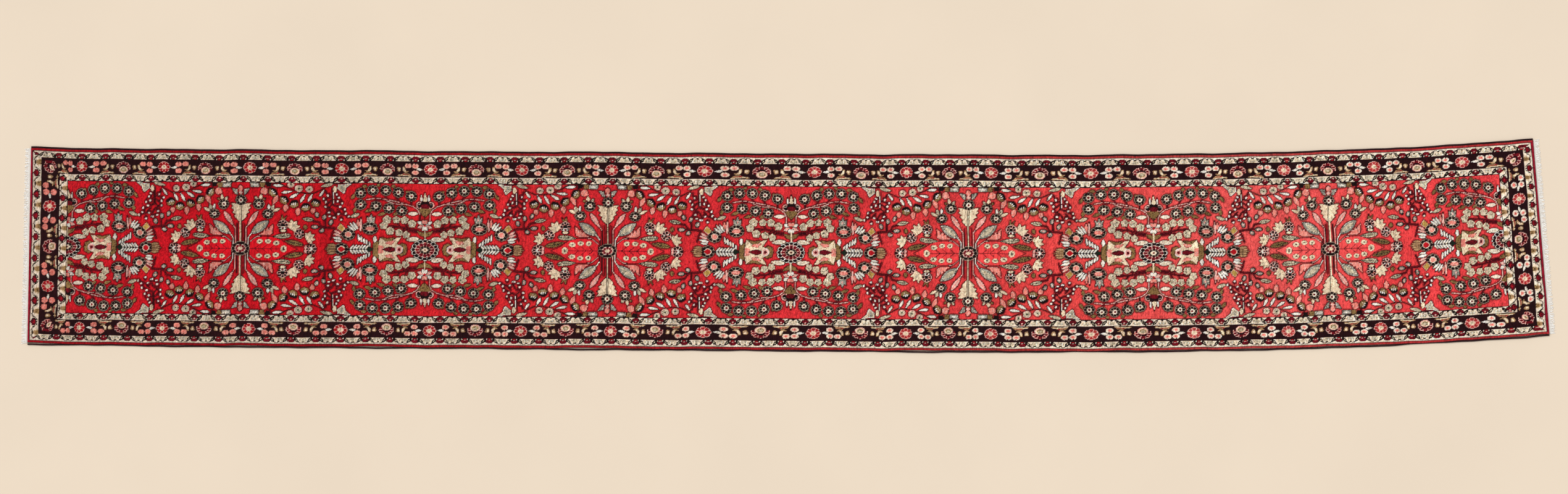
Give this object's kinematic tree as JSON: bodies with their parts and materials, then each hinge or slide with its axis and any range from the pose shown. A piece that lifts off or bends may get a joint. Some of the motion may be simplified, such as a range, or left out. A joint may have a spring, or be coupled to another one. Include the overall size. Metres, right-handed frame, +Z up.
{
  "type": "runner rug",
  "caption": "Long narrow hand-knotted floor rug with bordered wool pile, corded edges and short cut fringes, whose two ends can be turned back over it.",
  "frame": {"origin": "centre of the outline, on the floor plane under the rug", "axes": "+X along the rug towards its right end, +Y across it towards its far side, +Z up out of the pile"},
  "size_m": [6.2692, 0.8759, 0.0093],
  "materials": {
    "cotton": "unbleached cotton, woven and twisted",
    "field_red": "madder-dyed wool, cut pile",
    "border_brown": "dark brown wool, cut pile",
    "guard_ivory": "ivory wool, cut pile",
    "edge_red": "dark red wool, cut pile",
    "selvedge_black": "near-black wool, wrapped round a cord"
  },
  "bodies": {
    "middle": {"foundation_middle": "cotton", "field_pile_middle": "field_red", "edge_stripe_near_middle": "edge_red", "edge_stripe_far_middle": "edge_red", "outer_guard_near_middle": "guard_ivory", "outer_guard_far_middle": "guard_ivory", "main_border_near_middle": "border_brown", "main_border_far_middle": "border_brown", "inner_guard_near_middle": "guard_ivory", "inner_guard_far_middle": "guard_ivory", "selvedge_core_near_middle": "cotton", "selvedge_wrap_near_middle": "selvedge_black", "selvedge_core_far_middle": "cotton", "selvedge_wrap_far_middle": "selvedge_black"},
    "left_end": {"foundation_left": "cotton", "field_pile_left": "field_red", "edge_stripe_near_left": "edge_red", "edge_stripe_far_left": "edge_red", "edge_stripe_end_left": "edge_red", "outer_guard_near_left": "guard_ivory", "outer_guard_far_left": "guard_ivory", "outer_guard_end_left": "guard_ivory", "main_border_near_left": "border_brown", "main_border_far_left": "border_brown", "main_border_end_left": "border_brown", "inner_guard_near_left": "guard_ivory", "inner_guard_far_left": "guard_ivory", "inner_guard_end_left": "guard_ivory", "selvedge_core_near_left": "cotton", "selvedge_wrap_near_left": "selvedge_black", "selvedge_core_far_left": "cotton", "selvedge_wrap_far_left": "selvedge_black", "web_end_left": "cotton", "fringe_left": "cotton"},
    "right_end": {"foundation_right": "cotton", "field_pile_right": "field_red", "edge_stripe_near_right": "edge_red", "edge_stripe_far_right": "edge_red", "edge_stripe_end_right": "edge_red", "outer_guard_near_right": "guard_ivory", "outer_guard_far_right": "guard_ivory", "outer_guard_end_right": "guard_ivory", "main_border_near_right": "border_brown", "main_border_far_right": "border_brown", "main_border_end_right": "border_brown", "inner_guard_near_right": "guard_ivory", "inner_guard_far_right": "guard_ivory", "inner_guard_end_right": "guard_ivory", "selvedge_core_near_right": "cotton", "selvedge_wrap_near_right": "selvedge_black", "selvedge_core_far_right": "cotton", "selvedge_wrap_far_right": "selvedge_black", "web_end_right": "cotton", "fringe_right": "cotton"}
  },
  "joints": [
    {"name": "left_end_fold", "type": "hinge", "parent": "middle", "child": "left_end", "pos_m": [-1.613, -0.01653, 0.0103], "axis": [0.0066, 1, 0], "range_deg": [0, 179]},
    {"name": "right_end_fold", "type": "hinge", "parent": "middle", "child": "right_end", "pos_m": [1.587, -0.02958, 0.0103], "axis": [0.0128, -0.9999, 0], "range_deg": [0, 179]}
  ]
}
